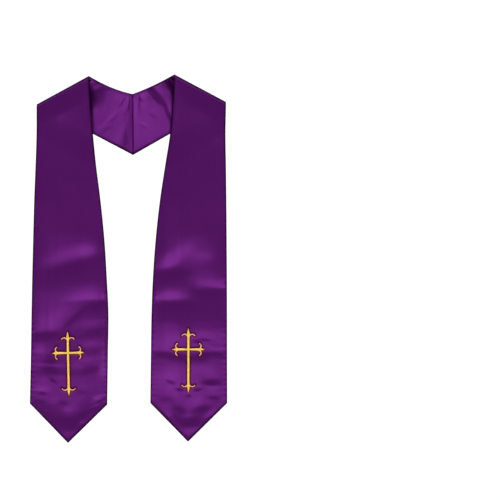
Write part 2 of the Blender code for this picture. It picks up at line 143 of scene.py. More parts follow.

# Creases, given as the patches of cloth that lean between them: a point on the edge where a patch
# leans most, the edge's turn from +X, half its length, how far the lean fades above it and below it,
# the lean in degrees, towards the neck or away from it, and how far the edge's ends bow down
Lean = namedtuple("Lean", "x y turn length above below lean bow", defaults=(0,))
FRONT_LEANS = {
    "left": [
        Lean(-124, -250, 0, 200, 136, 300, 2.7),
        Lean(-124, -285, 0, 200, 60, 120, 0.6),
        Lean(-86, 17, 6, 25, 15, 13, 3.7),
        Lean(-134, 5.5, 18, 36, 17, 14, 2.2),
        Lean(-168, -9, 16, 24, 16, 12, 1.5),
        Lean(-104, -11, 16, 52, 8, 18, -1.9),
        Lean(-84, -82, 5, 42, 22, 3.4, 4.8),
        Lean(-158, -82, 2, 50, 26, 26, 1.7),
        Lean(-64, -94, 12, 22, 3, 10, -5.2),
        Lean(-96, -58, 4, 50, 5, 6, 0.5),
        Lean(-94, -91, 8, 26, 6, 5, 0.8),
        Lean(-50, -81, 14, 14, 3, 2, 3),
        Lean(-166, -141, 8, 27, 30, 10, 3.6),
        Lean(-134, -112, 16, 36, 20, 14, 1.8),
        Lean(-178, -158, 6, 32, 6, 10, -3.8, 2),
        Lean(-112, -122, 44, 30, 5, 7, -2.1),
        Lean(-76, -133, 6, 36, 10, 10, 2.4),
        Lean(-72, -154, 14, 26, 6, 6, -1.5),
        Lean(-74, -175, 4, 30, 8, 9, 2.0),
        Lean(-68, -193, 0, 26, 6, 6, -0.9),
        Lean(-182, -190, -8, 17, 14, 8, 2.6),
        Lean(-163, -212, 2, 13, 4, 5, -4.8),
        Lean(-178, -219, 4, 18, 4, 4, 1.2),
        Lean(-163, -229, -6, 15, 4, 6, -6.5),
        Lean(-82, -209, 8, 34, 8, 7, 1.3),
        Lean(-78, -230, 10, 18, 5, 8, -2.6),
        Lean(-106, -223, 0, 12, 5, 5, 1.2),
        Lean(-52, -232, 0, 10, 18, 14, 3.0),
        Lean(-52, -196, 0, 9, 12, 10, 1.8),
        Lean(-140, -244, -10, 16, 7, 5, 1.0),
        Lean(-157, -252, -28, 8, 2.6, 3, -4.5),
        Lean(-178, -251, 0, 24, 14, 12, 0.8),
        Lean(-176, -272, 0, 14, 6, 5, 0.8),
        Lean(-88, -262, 8, 34, 8, 12, 0.5),
        Lean(-179, -279, -6, 9, 3, 3.4, -4.0),
        Lean(-100, -276, -6, 20, 5, 6, -1.4),
        Lean(-163, -294, -10, 22, 10, 9, 1.8),
        Lean(-137, -299, -5, 11, 5, 6, -3),
        Lean(-122, -313, -4, 20, 7, 5, 1.2),
        Lean(-64, -289, 20, 18, 5, 7, 3.0),
        Lean(-57, -294, 24, 10, 3, 3, -4),
        Lean(-66, -303, 24, 12, 4, 4, 2.2),
        Lean(-72, -312, 24, 11, 3, 4, -3),
        Lean(-164, -330, -40, 22, 7, 8, -2.4),
        Lean(-96, -325, 28, 17, 6, 8, -3.4),
        Lean(-126, -339, -6, 24, 9, 13, -4.6),
        Lean(-98, -339, 24, 8, 4, 4, 3.6),
        Lean(-124, -364, 0, 18, 11, 12, 1.8),
        Lean(-118, 147, 3, 34, 8, 8, 0.8),
        Lean(-130, 225, 0, 200, 110, 100, 1.4),
        Lean(-144, 262, -28, 90, 24, 24, 3.0),
        Lean(-150, -238, 0, 50, 8, 6, -2.0),
        Lean(-182, -270, 0, 16, 7, 6, 2.6),
        Lean(-175, 105, 0, 20, 8, 8, 0.6),
        Lean(-165, 303, 0, 40, 22, 22, 1.35),
        Lean(-165, -202, 0, 6, 3, 3, -3.6),
        Lean(-145, -222, 0, 14, 3.6, 3, 1.6),
        Lean(-189, -294, -10, 13, 3, 5, -2.4),
    ],
    "right": [
        Lean(124, -225, 0, 200, 70, 300, 3.2),
        Lean(124, -305, 0, 200, 60, 120, 1.2),
        Lean(140, -27, -10, 60, 22, 30, 2.2),
        Lean(83, -9, 27, 25, 15, 10, 4.9),
        Lean(72, 10, 27, 12, 8, 8, 0.7),
        Lean(114, 16, 30, 30, 17, 14, 2.9),
        Lean(166, 7, -10, 20, 11, 10, 1.1),
        Lean(148, 5, 2, 26, 12, 13, 1.6),
        Lean(148, -57, 0, 18, 6, 5, 0.7),
        Lean(92, -31, 6, 38, 10, 13, -4),
        Lean(190, -57, -8, 27, 15, 4, 5.0),
        Lean(150, -49, -14, 26, 14, 10, 1.7),
        Lean(165, -68, 0, 38, 3, 12, -3.0),
        Lean(82, -80, 1, 31, 17, 6, 6.0),
        Lean(115, -76, 0, 28, 14, 10, 2.2),
        Lean(56, -87, 0, 14, 10, 10, 2),
        Lean(100, -95, 0, 40, 4, 12, -2.2),
        Lean(53, -112, 0, 8, 20, 30, 1.8),
        Lean(124, -188, 2, 110, 22, 6, 1.6),
        Lean(122, -158, 2, 110, 13, 22, 3.2),
        Lean(72, -181, 4, 28, 12, 6, 1.4),
        Lean(80, -140, 2, 34, 12, 10, 2.2),
        Lean(158, -168, -8, 14, 3, 4, -4.2),
        Lean(139, -171, 0, 7, 3, 4, -5),
        Lean(176, -179, -12, 13, 2.5, 3, -1.4),
        Lean(184, -187, -6, 14, 4, 3, 1.8),
        Lean(64, -197, 3, 18, 5, 7, -3.0),
        Lean(94, -202, -5, 20, 6, 9, -4.1),
        Lean(152, -202, 6, 17, 6, 11, -4.2),
        Lean(182, -198, -8, 22, 3.4, 6, -3.8),
        Lean(122, -208, 0, 16, 7, 10, -2.4),
        Lean(76, -244, 0, 40, 16, 16, 2.35),
        Lean(156, -230, -6, 34, 10, 10, 1.3),
        Lean(180, -240, 0, 14, 6, 6, 0.7),
        Lean(88, -256, -18, 11, 4, 4, -4.4),
        Lean(172, -257, -3, 15, 5, 5, -9.5),
        Lean(106, -271, -8, 9, 2.5, 3, -6),
        Lean(143, -271, 6, 10, 2.5, 3, -6),
        Lean(124, -284, 0, 5, 3, 4, -4),
        Lean(110, -266, 0, 60, 12, 15, 1.3),
        Lean(180, -288, -6, 12, 4, 5, -3.6),
        Lean(64, -288, -6, 22, 6, 6, -1.1),
        Lean(106, -312, -16, 14, 6, 7, -2.7),
        Lean(152, -311, 12, 16, 5, 7, -3.7),
        Lean(128, -339, 8, 21, 8, 10, -4.8),
        Lean(100, -331, -32, 10, 5, 6, -2.4),
        Lean(80, -322, -36, 14, 7, 7, 2.1),
        Lean(168, -322, 34, 14, 7, 7, 2.2),
        Lean(124, -325, 12, 11, 4, 4, 1.8),
        Lean(128, -354, 0, 18, 8, 14, 2.6),
        Lean(181, 248, 0, 12, 8, 8, 1.2),
        Lean(98, 300, 0, 22, 20, 20, 0.8),
        Lean(78, -304, -24, 18, 8, 8, 1.8),
        Lean(160, -134, 0, 32, 5, 6, 1.1),
        Lean(176, -266, 4, 16, 3.6, 5, 1.8),
        Lean(156, -296, 0, 28, 8, 10, 1.8),
        Lean(140, 225, 0, 200, 110, 100, 1.4),
        Lean(156, 264, 30, 90, 24, 24, 3.0),
    ],
}

# Creases inside the neck: a point on the crest, its turn, half length, how far its upper and lower
# slopes run, and its height. At the crest's ends a share of that run is left
Crease = namedtuple("Crease", "x y turn length above below height")
BACK_CREASES = {
    "left": [
        Crease(-82, 358, -74, 50, 40, 14, 3.6),
        Crease(-61, 353, 22, 16, 10, 8, 0.65),
        Crease(-79, 310, -84, 80, 5, 6, 0.8),
        Crease(-45, 354, -20, 12, 5, 5, 0.5),
        Crease(-14, 326, 62, 16, 24, 4, 0.5),
        Crease(-1, 318, 82, 24, 20, 3, 0.6),
        Crease(-34, 292, 42, 22, 8, 6, 0.4),
        Crease(-48, 272, 32, 24, 10, 8, 0.35),
        Crease(-14, 248, 78, 36, 14, 12, 0.6),
        Crease(-7, 270, 86, 95, 40, 16, 0.9),
    ],
    "right": [
        Crease(11, 275, 90, 90, 2.5, 6, 0.5),
        Crease(28, 333, -52, 11, 18, 9, 0.7),
        Crease(26, 318, 86, 26, 9, 14, 0.9),
        Crease(44, 336, -50, 10, 12, 5, 0.35),
        Crease(62, 347, -49, 48, 150, 20, 3.2),
        Crease(87, 302, -68, 32, 12, 11, 1.3),
        Crease(101, 354, -62, 40, 8, 20, 2.4),
        Crease(5, 262, 88, 80, 2, 52, 1.8),
        Crease(50, 300, -30, 16, 14, 6, 0.35),
        Crease(31, 277, -30, 14, 5, 4, 0.5),
    ],
}
CREASE_END_RUN = 0.6

# The map of a front's creases, in steps of a millimetre about its tip, and the run of the moving
# mean that levels it
MAP_ASIDE = 90
MAP_BELOW = 130
MAP_WIDE = 181
MAP_HIGH = 910
LEVELLING = 105.0

# Very low, wide waves: height, way across them, run of one radian, how far they bend and over what
# run, and where they start
Swell = namedtuple("Swell", "height way_x way_y run bend bend_run start")
SWELLS = [
    Swell(0.10, 1, 0, 31, 1.3, 57, 0.0),
    Swell(0.08, 0, 1, 38, 1.1, 49, 0.6),
    Swell(0.05, 1, 1, 23, 0.0, 1, 2.1),
]

# Creased cloth stands a little off the table, except along its sewn edges
PUFF = 1.3
PUFF_FROM = 60.0
PUFF_RUN = 80.0
PUFF_EDGE = 46.0

# Relief sets in near an edge: from how far outside it, and over what run
SetIn = namedtuple("SetIn", "outside run")
FACE_SET_IN = SetIn(4, 14)
LINING_SET_IN = SetIn(3, 9)
SHOWN_SET_IN = SetIn(16, 14)

# How much of the creases the hidden skins follow, and of the swells the lining inside the neck
UNDER_FOLLOWS = 0.4
LINING_FOLLOWS = 0.35
NECK_SWELLS = 0.6

# Grid of the cloth: rows and columns beside a sewn edge by their distance from it, pitch of the
# columns on a strip of a usual width, close under the cross, and pitch of a front's rows, first wide
# and then close from a distance below the shoulder fold. Rows beside the hem allow for its slope
EDGE_STEPS = (0.0, 0.25, 0.6, 1.0, 1.5, 2.1, 2.9, 3.9)
EDGE_WIDTH = 150.0
FINE_PITCH = 1.2
COARSE_PITCH = 2.2
FACE_PITCHES = (3.4, 1.15 * FINE_PITCH)
LINING_PITCHES = (6.8, 2.4 * FINE_PITCH)
HEM_SLOPE = 1.4
CROSS_BAND = (0.26, 0.74)
CREASED_FROM = 330.0
LOOP_STEPS = 18

# Sewn edges: how they roll in, how the back seam sinks by a share of such a roll, and a narrower one,
# its pressed allowances, and the ripples beside sewn edges
SOFT_ROLL = 4.4
HARD_ROLL = 1.2
SOFT_SHARE = 0.5
SEAM_SINK = 0.22
SEAM_NARROWER = 3.2
ALLOWANCE = 9.5
ALLOWANCE_RISE = 0.3
ALLOWANCE_EDGE = 1.6
PUCKER = 0.10
PUCKER_REACH = 6.0
PUCKER_RUN = 1.9
PUCKER_DRIFT = 2.0
PUCKER_DRIFT_RUN = 23.0
BACK_PUCKER = 0.5

# Painted shade and its run: in sewn edges, in the shoulder fold, in the seam and where the lining runs
# under a front
FACE_RIM_SHADE = 2.5
LINING_RIM_SHADE = 4.4
FOLD_SHADE = 1.0
FOLD_SHADE_RUN = 5.2
SEAM_SHADE = 0.05
SEAM_SHADE_RUN = 1.0
TUCK_SHADE = 0.95
TUCK_LEAST = 2.2
CORNER_RUN = 36.0

# Embroidery: lengths of the arms, half widths of a hook at both ends, the turn in degrees where it
# starts, the radians before its top where it begins to thin, how the strokes sink under each other,
# and how pale the painted sheen on their threads is
ARM_UP = 43.6
ARM_DOWN = 88.8
ARM_SIDE = 33.4
HOOK_HALF = 1.2
HOOK_END_HALF = 0.75
HOOK_START_TURN = 80.0
HOOK_THIN_RADIANS = 1.1
BAR_SINK = -0.12
HOOK_SINK = -0.2
HOOK_PALE = 1.0
HOOK_END_PALER = 0.3
STRAIGHT_PALE = 0.75
PALE_FROM = 3.0
STEM_DEEP = 10.5
BAR_DEEP = 8.0
DEEP_RUN = 4.5
TIP_PALE = 9.0

# Stitches: their thread, spacing, slant, height on a stroke of full width and its least and most
# share, depth of their ends, shake of the hand, and spread of their tone
THREAD_RADIUS = 0.2
STITCH_PITCH = 0.36
STITCH_SLANT = 0.3
STITCH_HEIGHT = 0.75
STITCH_FULL_HALF = 2.0
STITCH_LEAST = 0.55
STITCH_MOST = 1.15
STITCH_ROOT = 0.25
STITCH_SHAKE = 0.04
STITCH_SEED = 7
TONE_SPREAD = 0.25

# The cloth sinks round the stitches, and a painted maroon shade lies on it round them
CROSS_REACH = 9.0
TRENCH = 0.45
TRENCH_RUN = 1.4
THREAD_SHADE = 0.95
THREAD_SHADE_RUN = 3.8
THREAD_SHADE_BLUR = 1.2
THREAD_SHADE_COLOUR = (0.070, 0.002, 0.003)

# Cuts through one stitch: place across the stroke from edge to edge, and share of the thread's radius
Cut = namedtuple("Cut", "across thin")
STITCH_CUTS = [
    Cut(-1.0, 0.55),
    Cut(-0.82, 0.95),
    Cut(-0.45, 1.0),
    Cut(0.0, 1.0),
    Cut(0.45, 1.0),
    Cut(0.82, 0.95),
    Cut(1.0, 0.55),
]

# Half widths along the stem and the crossbar, by distance from the tip
Stroke = namedtuple("Stroke", "from_tip half_width")
LONG_ARM = [
    Stroke(0, 0.25),
    Stroke(2.4, 0.75),
    Stroke(5.2, 1.45),
    Stroke(8, 2.45),
    Stroke(11.5, 2.9),
    Stroke(16, 2.4),
    Stroke(20, 2.2),
]
SHORT_ARM = [
    Stroke(0, 0.3),
    Stroke(3, 0.95),
    Stroke(5.4, 1.95),
    Stroke(8.2, 2.8),
    Stroke(13, 2.5),
    Stroke(30, 1.85),
]

# The hooks of each arm: how far they lie from its tip, the stroke they spring from, and their arc
Hook = namedtuple("Hook", "from_tip half_width radius end_turn")
TOP_HOOK = Hook(12.0, 2.3, 6.6, 62)
LOW_HOOK = Hook(11.6, 2.3, 6.7, 60)
SIDE_HOOK = Hook(7.1, 2.2, 6.0, 70)

# The satin's dye and how far the painted shade darkens it, and the thread's gold by tone, as shares
# of its colour, darker for the painted shade at a stitch's ends and paler for its painted sheen
DYE = (0.0920, 0.0056, 0.1280)
PAINTED_SHADE_DEPTH = 0.86
Gold = namedtuple("Gold", "tone red green blue")
THREAD_GOLDS = [
    Gold(0, 0.95, 0.86, 0.9),
    Gold(0.2, 1.0, 1.0, 1.0),
    Gold(0.75, 1.0, 0.98, 6.5),
    Gold(1, 1.0, 0.76, 18.0),
]

# The table: half its size, and how far it lies under the part's own ground
TABLE_HALF = 9000.0
TABLE_DROP = 0.05


def smooth_step(share):
    """Rises from 0 to 1 with level ends: three times the square, less twice the cube."""
    share = np.clip(share, 0.0, 1.0)
    return share * share * (3.0 - 2.0 * share)


def smooth_curve(table_at, table_value, at):
    """A cubic curve through a table's points, with each slope taken from the points beside it."""
    table_at, table_value = np.asarray(table_at, float), np.asarray(table_value, float)
    slope = np.gradient(table_value, table_at)
    k = np.clip(np.searchsorted(table_at, at) - 1, 0, len(table_at) - 2)
    span = table_at[k + 1] - table_at[k]
    s = np.clip((at - table_at[k]) / span, 0.0, 1.0)
    start = table_value[k] * (2 * s**3 - 3 * s**2 + 1) + slope[k] * span * (s**3 - 2 * s**2 + s)
    end = table_value[k + 1] * (3 * s**2 - 2 * s**3) + slope[k + 1] * span * (s**3 - s**2)
    return start + end


def front_edge(half, edge, height):
    """X of a front's outer or inner edge at a height."""
    name = ("left_" if half.side < 0 else "right_") + edge
    return smooth_curve([r.height for r in SECTIONS], [getattr(r, name) for r in SECTIONS], height)


def fold_inward(half):
    """Unit vector in the plan, at right angles to the shoulder fold and towards the stole."""
    along = np.subtract(half.neck, half.shoulder)
    inward = np.array([along[1], -along[0]]) * -half.side
    return inward / np.hypot(*inward)


def front_reach(half):
    """How far the hem lies from the shoulder fold, and the slope that turns this into a height."""
    steep = -fold_inward(half)[1]
    outer_drop = half.shoulder[1] - half.hem_outer
    inner_drop = half.neck[1] - half.hem_inner
    return 0.5 * (outer_drop + inner_drop) * steep, steep


def tip_share(half):
    """Where the pointed end's tip lies between the outer edge, 0, and the inner edge, 1."""
    outer = front_edge(half, "outer", np.array(half.hem_outer))
    inner = front_edge(half, "inner", np.array(half.hem_inner))
    return float((half.tip[0] - outer) / (inner - outer))


def front_plan(half, across, down):
    """Plan of a front and its width there. across runs from the outer edge, 0, to the inner edge,
    1, and down is the distance from the shoulder fold. Rows lie along the fold at the top, turn
    level as the square of that distance, and bend into the point as its sixth power."""
    reach, steep = front_reach(half)
    share = down / reach
    outer_y = half.shoulder[1] - down / steep
    inner_y = half.neck[1] - down / steep
    outer_y = outer_y + (half.hem_outer - (half.shoulder[1] - reach / steep)) * share**2
    inner_y = inner_y + (half.hem_inner - (half.neck[1] - reach / steep)) * share**2
    outer_x = front_edge(half, "outer", outer_y)
    inner_x = front_edge(half, "inner", inner_y)
    tip_at = tip_share(half)
    hem_y = half.hem_outer + (half.hem_inner - half.hem_outer) * tip_at
    point = np.minimum(across / tip_at, (1 - across) / (1 - tip_at))
    x = outer_x + (inner_x - outer_x) * across
    y = outer_y + (inner_y - outer_y) * across
    y = y + (half.tip[1] - hem_y) * point * share**TIP_GATHER
    return x, y, np.abs(inner_x - outer_x)


def back_reaches(half):
    """Distances of the seam's lower and upper end from the shoulder fold, and their mean."""
    inward = fold_inward(half)
    low = np.subtract(half.seam_low, half.shoulder) @ inward
    top = np.subtract(half.seam_top, half.neck) @ inward
    return low, top, 0.5 * (low + top)


def back_plan(half, across, down):
    """Plan of a back and its width there. across runs from the lower edge, 0, to the neck edge, 1,
    and down is the distance from the shoulder fold. Rows lie along the fold at first and fan out,
    as the square of that distance, until they end on the seam. The neck edge dips as a parabola."""
    low_reach, top_reach, reach = back_reaches(half)
    seam = np.array([half.side * SEAM_APART, 0.0])
    low_run = np.add(half.seam_low, seam) - half.shoulder
    top_run = np.add(half.seam_top, seam) - half.neck
    share = down / reach
    low_share = (reach * share + (low_reach - reach) * share**2) / low_reach
    top_share = (reach * share + (top_reach - reach) * share**2) / top_reach
    low_x = half.shoulder[0] + low_run[0] * low_share
    low_y = half.shoulder[1] + low_run[1] * low_share
    top_x = half.neck[0] + top_run[0] * top_share
    top_y = half.neck[1] + top_run[1] * top_share
    dip = half.neck_dip * 4 * top_share * (1 - top_share)
    edge = low_run / np.hypot(*low_run)
    wide = np.abs((top_x - low_x) * edge[1] - (top_y - low_y) * edge[0])
    return low_x + (top_x - low_x) * across, low_y + (top_y - dip - low_y) * across, wide


@lru_cache(maxsize=None)
def relief_map(name):
    """Heights of a front's creases on a grid of one millimetre, and of the slow rise left out of
    them, with the grid's low corner. The cloth's lean is a sum of patches, each a bell across its
    edge, wider on one side, times a bell along it. Its tangent is summed down the front, and what
    a wide moving mean of that keeps is the slow rise."""
    half = HALVES[name]
    corner = np.array([half.tip[0] - MAP_ASIDE, half.tip[1] - MAP_BELOW])
    x = corner[0] + np.arange(float(MAP_WIDE))[:, None]
    y = corner[1] + np.arange(float(MAP_HIGH))[None, :]
    lean = np.zeros((MAP_WIDE, MAP_HIGH))
    for patch in FRONT_LEANS[name]:
        turn = math.radians(patch.turn)
        along = ((x - patch.x) * math.cos(turn) + (y - patch.y) * math.sin(turn)) / patch.length
        across = (y - patch.y) * math.cos(turn) - (x - patch.x) * math.sin(turn) + patch.bow * along**2
        across = across / np.where(across > 0, patch.above, patch.below)
        lean = lean + patch.lean * np.exp(-(across**2) - along**2)
    height = -np.cumsum(np.tan(np.radians(lean)), axis=1)
    apart = np.arange(MAP_HIGH)
    weight = np.exp(-(((apart[:, None] - apart[None, :]) / LEVELLING) ** 2))
    slow = height @ (weight / weight.sum(0))
    return height - slow, slow, corner


def front_creases(name, x, y, slow=False):
    """Height of a front's creases, or of the slow rise left out of them, at plan points: between
    the map's four nearest points it goes in straight lines."""
    height, rise, corner = relief_map(name)
    table = rise if slow else height
    last = 1.001
    i = np.clip(x - corner[0], 0, MAP_WIDE - last)
    j = np.clip(y - corner[1], 0, MAP_HIGH - last)
    i0, j0 = i.astype(int), j.astype(int)
    s, t = i - i0, j - j0
    low = table[i0, j0] * (1 - s) + table[i0 + 1, j0] * s
    high = table[i0, j0 + 1] * (1 - s) + table[i0 + 1, j0 + 1] * s
    return low * (1 - t) + high * t


def back_creases(name, x, y):
    """Height of the creases inside the neck. Each slope is a smooth step from the crest down, and
    fades along the crest as the square of one less the square of the place along."""
    height = np.zeros(np.shape(x))
    for crease in BACK_CREASES[name]:
        turn = math.radians(crease.turn)
        along = ((x - crease.x) * math.cos(turn) + (y - crease.y) * math.sin(turn)) / crease.length
        aside = (y - crease.y) * math.cos(turn) - (x - crease.x) * math.sin(turn)
        fade = np.clip(1 - along**2, 0, 1)
        run = np.where(aside > 0, crease.above, crease.below)
        run = run * (CREASE_END_RUN + (1 - CREASE_END_RUN) * fade)
        height = height + crease.height * smooth_step(1 - np.abs(aside) / run) * fade**2
    return height


def puff(y):
    """How far a front's creased cloth stands off the table: a smooth step down the front."""
    return PUFF * smooth_step((PUFF_FROM - y) / PUFF_RUN)


def swells(x, y):
    """Very low, wide waves that keep the sheen from lying dead: crossing sines, each bent by a
    second sine of the place along it."""
    height = 0
    for wave in SWELLS:
        through = wave.way_x * x + wave.way_y * y
        beside = wave.way_y * x + wave.way_x * y
        bend = wave.bend * np.sin(beside / wave.bend_run)
        height = height + wave.height * np.sin(through / wave.run + bend + wave.start)
    return height


def set_in(away, band):
    """Rises from 0 to 1 over a band inside an edge, by the distance from it."""
    return smooth_step((away + band.outside) / band.run)


def front_rest(half, across, down, x, y):
    """Height of a front's underside: on the back, then down a soft step onto the table. The loop of
    the shoulder fold holds it up, less and less, until it has settled."""
    low_run = np.subtract(half.seam_low, half.shoulder)
    off_back = np.array([-low_run[1], low_run[0]]) * half.side
    off_back = off_back / np.hypot(*off_back)
    past = (x - half.shoulder[0]) * off_back[0] + (y - half.shoulder[1]) * off_back[1]
    on_back = UNDER_LAYERS * (1 - smooth_step((past - STEP_START) / STEP_RUN))
    settle = SETTLE_OUTER + (SETTLE_NECK - SETTLE_OUTER) * across
    loop = (2 * FOLD_RADIUS - PANEL - UNDER_LAYERS) * (1 - smooth_step((down - FOLD_RADIUS) / settle))
    return on_back + loop


def strip_columns(half):
    """Places across a strip: close at both edges and under the cross, wider apart elsewhere."""
    tip_at = tip_share(half)
    near = np.array(EDGE_STEPS) / EDGE_WIDTH
    wide = np.arange(EDGE_STEPS[-1] + COARSE_PITCH, CROSS_BAND[0] * EDGE_WIDTH, COARSE_PITCH) / EDGE_WIDTH
    fine = np.linspace(CROSS_BAND[0], tip_at, round((tip_at - CROSS_BAND[0]) * EDGE_WIDTH / FINE_PITCH))
    rest = np.linspace(tip_at, CROSS_BAND[1], round((CROSS_BAND[1] - tip_at) * EDGE_WIDTH / FINE_PITCH))
    return np.concatenate([near, wide, fine, rest[1:], (1 - wide)[::-1], (1 - near)[::-1]])


def strip_rows(half, is_face):
    """Rows of a strip from the centre back seam to the hem. Their zone is -1 on the back, 0 in the
    loop and 1 on the front, and their place is the turn in the loop, and elsewhere the distance
    from the shoulder fold."""
    reach = front_reach(half)[0]
    back_long = back_reaches(half)[2]
    near = np.array(EDGE_STEPS)
    back = np.arange(back_long - EDGE_STEPS[-1] - COARSE_PITCH, FOLD_RADIUS + 1, -COARSE_PITCH)
    back = np.concatenate([back_long - near, back])
    loop = np.linspace(-math.pi / 2, math.pi / 2, LOOP_STEPS + 1)
    upper_pitch, pitch = FACE_PITCHES if is_face else LINING_PITCHES
    upper = np.arange(FOLD_RADIUS + FACE_PITCHES[0], CREASED_FROM, upper_pitch)
    lower = np.arange(CREASED_FROM, reach - EDGE_STEPS[-1] / HEM_SLOPE - 0.5 * pitch, pitch)
    front = np.concatenate([upper, lower, (reach - near / HEM_SLOPE)[::-1]])
    zone = np.repeat([-1, 0, 1], [len(back), len(loop), len(front)])
    place = np.concatenate([back, loop, front])
    return zone[:, None], place[:, None]


def roll_in(rim):
    """How far a skin has rolled in at a distance from a sewn edge, as its soft part and in all: a
    parabola over the last few millimetres, and a quarter circle over the last one."""
    soft = np.clip(1 - rim / SOFT_ROLL, 0, 1) ** 2
    hard = 1 - np.sqrt(1 - np.clip(1 - rim / HARD_ROLL, 0, 1) ** 2)
    return soft, SOFT_SHARE * soft + (1 - SOFT_SHARE) * hard


def strip_skin(name, skin, edge, is_face):
    """One skin of a strip of cloth as a grid of points, its UV map and its marks. The strip is a
    level back, a loop that turns about the shoulder fold as sine and cosine of its angle, and a
    front. At its sewn edges the skin rolls in to meet the other piece. The hem's two sides slope
    at 45 degrees. The marks are painted shade in the sewn edges, the shoulder fold, the seam and
    under a front's edge, the painted shade round the stitches, and the slow rise of the yarn, in
    metres."""
    half = HALVES[name]
    across = strip_columns(half)[None, :]
    zone, place = strip_rows(half, is_face)
    is_back, is_loop, is_front = zone < 0, zone == 0, zone > 0
    reach, back_long = front_reach(half)[0], back_reaches(half)[2]
    swing = np.where(is_loop, np.sin(place), 0)
    loop_down = FOLD_RADIUS - (FOLD_RADIUS - skin) * np.where(is_loop, np.cos(place), 1)
    down = np.where(is_loop, loop_down, place) + 0 * across
    over = np.where(is_back, 0, np.where(is_front, 1, 0.5 + 0.5 * swing))
    back_x, back_y, back_wide = back_plan(half, across, np.minimum(down, back_long))
    front_x, front_y, front_wide = front_plan(half, across, np.minimum(down, reach))
    x = back_x + (front_x - back_x) * over
    y = back_y + (front_y - back_y) * over
    wide = back_wide + (front_wide - back_wide) * over

    u, v = cloth_place(half, x, y, is_back, is_loop, place)
    side = np.minimum(across, 1 - across) * wide
    hem_y = front_plan(half, across, np.full_like(across, reach))[1]
    hem = np.where(is_front, (y - hem_y) / math.sqrt(2), FAR)
    seam = np.where(is_back, np.abs(x - np.interp(y, *seam_line(half))), FAR)
    sewn = np.minimum(side, hem)
    # Painted shade: darker in the sewn edges, the shoulder fold and the seam, where shade would fall
    dark = np.exp(-((sewn / (FACE_RIM_SHADE if is_face else LINING_RIM_SHADE)) ** 2))
    dark = np.maximum(dark, SEAM_SHADE * np.exp(-((seam / SEAM_SHADE_RUN) ** 2)))
    dark = np.maximum(dark, np.where(is_back, 0, FOLD_SHADE * np.exp(-((down / FOLD_SHADE_RUN) ** 2))))
    soft, roll = roll_in(sewn)
    seam_soft, seam_roll = roll_in(SEAM_NARROWER * seam)
    soft = np.maximum(soft, seam_soft)
    depth = skin + (edge - skin) * np.maximum(roll, SEAM_SINK * seam_roll)

    thread = 0 * x
    if is_face:
        back_relief, front_relief = face_back(half, x, y), face_front(half, x, y, sewn)
        # Painted maroon shade round the stitches
        thread = thread + is_front * thread_shade(half, x, y)
    else:
        back_relief, front_relief = lining_back(half, x, y, sewn, seam), lining_front(half, x, y, sewn)
        # Painted shade on the lining under the front's edge and in the neck's corner
        dark = np.maximum(dark, is_back * tuck_shade(half, x, y))
    rise = (1 - soft) * smooth_step((down - FOLD_RADIUS) / np.where(is_back, BACK_FADE, FRONT_FADE))
    rim_down = np.full_like(across, FOLD_RADIUS)
    rim_x, rim_y, _ = front_plan(half, across, rim_down)
    rim_top = front_rest(half, across, rim_down, rim_x, rim_y) + PANEL
    at_back = depth + back_relief * rise
    at_front = front_rest(half, across, down, x, y) + PANEL - depth + front_relief * rise
    at_loop = depth + (rim_top - 2 * depth) * over
    z = np.where(is_back, at_back, np.where(is_front, at_front, at_loop))
    ripple = np.where(is_loop, 0, pucker(side, v) * (1 - soft))
    z = np.maximum(z + np.where(is_back, BACK_PUCKER, 1.0) * ripple, 0)
    start = [front_creases(name, *end, slow=True) for end in (half.shoulder, half.neck)]
    lean = front_creases(name, x, y, slow=True) - start[0] - (start[1] - start[0]) * across
    lean = MM * lean * is_front * smooth_step((down - FOLD_RADIUS) / FRONT_FADE)
    marks = {"painted_shade": dark, "painted_stitch_shade": thread, "yarn_rise": lean}
    return np.stack([x, y, z], -1), np.stack([u, v], -1) * MM, marks


def cloth_place(half, x, y, is_back, is_loop, turn):
    """Place across and along the yarn, with the strip unfolded about the shoulder: a point moves, at
    right angles to the fold, to the distance from the middle of the loop that the cloth runs. The
    loop takes its radius times its turn, and a layer beyond it a quarter circle less a radius more
    than its distance in the plan."""
    inward = fold_inward(half)
    off_x, off_y = x - half.shoulder[0], y - half.shoulder[1]
    down = off_x * inward[0] + off_y * inward[1]
    run = down + FOLD_RADIUS * (math.pi / 2 - 1)
    run = np.where(is_loop, FOLD_RADIUS * turn, np.where(is_back, -run, run))
    return -half.side * (off_x + (run - down) * inward[0]), -off_y - (run - down) * inward[1]


def seam_line(half):
    """The centre back seam as heights and X, for interpolation."""
    return [half.seam_low[1], half.seam_top[1]], [half.seam_low[0], half.seam_top[0]]


def pucker(side, along):
    """Ripples beside a sewn edge: a sine of the place along it, whose length drifts by another
    sine, fading away from the edge."""
    wave = np.sin(along / PUCKER_RUN + PUCKER_DRIFT * np.sin(along / PUCKER_DRIFT_RUN))
    return PUCKER * np.exp(-side / PUCKER_REACH) * wave


def add_mesh(name, points, faces, uv=None, marks=None, smooth=True):
    """Makes a mesh object from points in millimetres, faces as index rows, a UV for each point,
    and named numbers for each point."""
    mesh = bpy.data.meshes.new(name)
    faces = np.asarray(faces, np.int32)
    points = np.asarray(points, np.float32) * MM
    corners = faces.shape[1]
    mesh.vertices.add(len(points))
    mesh.vertices.foreach_set("co", points.ravel())
    mesh.loops.add(faces.size)
    mesh.loops.foreach_set("vertex_index", faces.ravel())
    mesh.polygons.add(len(faces))
    mesh.polygons.foreach_set("loop_start", np.arange(0, faces.size, corners, dtype=np.int32))
    mesh.update(calc_edges=True)
    if smooth:
        mesh.shade_smooth()
    if uv is not None:
        layer = mesh.uv_layers.new(name="Cloth")
        layer.uv.foreach_set("vector", np.asarray(uv, np.float32)[faces.ravel()].ravel())
    for mark, values in (marks or {}).items():
        layer = mesh.attributes.new(mark, "FLOAT", "POINT")
        layer.data.foreach_set("value", np.asarray(values, np.float32).ravel())
    mesh.validate()
    thing = bpy.data.objects.new(name, mesh)
    bpy.context.collection.objects.link(thing)
    return thing


